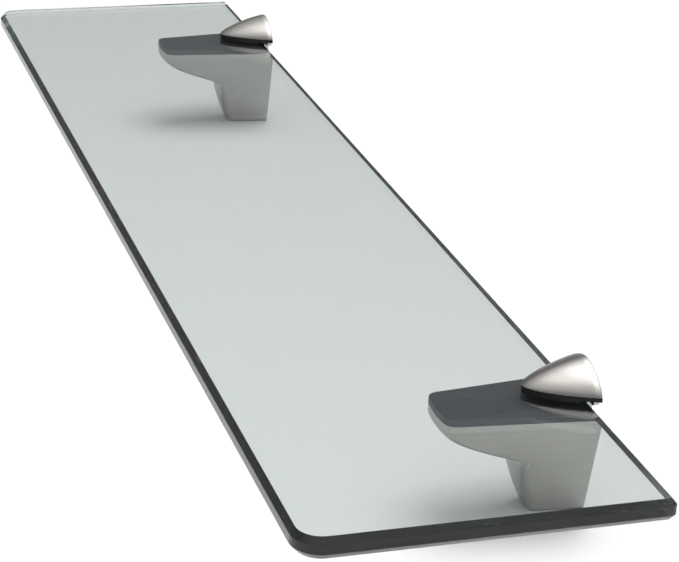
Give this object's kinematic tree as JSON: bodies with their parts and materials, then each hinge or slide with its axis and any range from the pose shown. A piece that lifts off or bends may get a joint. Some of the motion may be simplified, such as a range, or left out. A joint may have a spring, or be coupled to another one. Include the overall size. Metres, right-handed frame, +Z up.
{
  "type": "wall shelf with brackets",
  "caption": "Clear glass wall shelf gripped near its back edge by satin nickel clamp brackets with domed jaws, hung on hidden wall plates.",
  "frame": {"origin": "middle of the wall screw holes' pattern, on the wall", "axes": "+X along the shelf to the right seen from the front, -Y away from the wall, +Z up"},
  "size_m": [0.61, 0.1328, 0.063],
  "materials": {
    "clear_glass": "clear float glass with a faint green tint, all edges ground and polished",
    "satin_nickel": "satin nickel plate on a zinc casting, brushed",
    "grey_rubber": "matt dark grey rubber",
    "black_rubber": "matt black rubber",
    "zinc_plate": "bright zinc plate",
    "black_steel": "black oxide, slightly oily",
    "bright_steel": "bright nickel-plated machine screw"
  },
  "bodies": {
    "wall_side": {"left_bracket_casting": "satin_nickel", "left_lower_pad": "grey_rubber", "left_wall_plate": "zinc_plate", "left_lock_screw": "black_steel", "right_bracket_casting": "satin_nickel", "right_lower_pad": "grey_rubber", "right_wall_plate": "zinc_plate", "right_lock_screw": "black_steel"},
    "shelf": {"shelf_panel": "clear_glass"},
    "left_screw": {"left_clamp_screw": "bright_steel", "left_clamp_washer": "zinc_plate", "left_retaining_clip": "black_steel"},
    "left_jaw": {"left_clamp_jaw": "satin_nickel", "left_upper_pad": "black_rubber"},
    "right_screw": {"right_clamp_screw": "bright_steel", "right_clamp_washer": "zinc_plate", "right_retaining_clip": "black_steel"},
    "right_jaw": {"right_clamp_jaw": "satin_nickel", "right_upper_pad": "black_rubber"}
  },
  "joints": [
    {"name": "shelf_slide", "type": "slide", "parent": "wall_side", "child": "shelf", "axis": [0, -1, 0], "range_m": [0, 0.05]},
    {"name": "left_jaw_lift", "type": "slide", "parent": "wall_side", "child": "left_jaw", "axis": [0, 0, 1], "range_m": [0, 0.006]},
    {"name": "left_screw_turn", "type": "hinge", "parent": "wall_side", "child": "left_screw", "pos_m": [-0.2245, -0.0115, 0.0118], "axis": [0, 0, -1], "range_deg": [0, 3086]},
    {"name": "right_jaw_lift", "type": "slide", "parent": "wall_side", "child": "right_jaw", "axis": [0, 0, 1], "range_m": [0, 0.006]},
    {"name": "right_screw_turn", "type": "hinge", "parent": "wall_side", "child": "right_screw", "pos_m": [0.2245, -0.0115, 0.0118], "axis": [0, 0, -1], "range_deg": [0, 3086]}
  ],
  "couplings": [
    {"joint": "left_screw_turn", "follows": "left_jaw_lift", "rad_per_m": 8976},
    {"joint": "right_screw_turn", "follows": "right_jaw_lift", "rad_per_m": 8976}
  ]
}
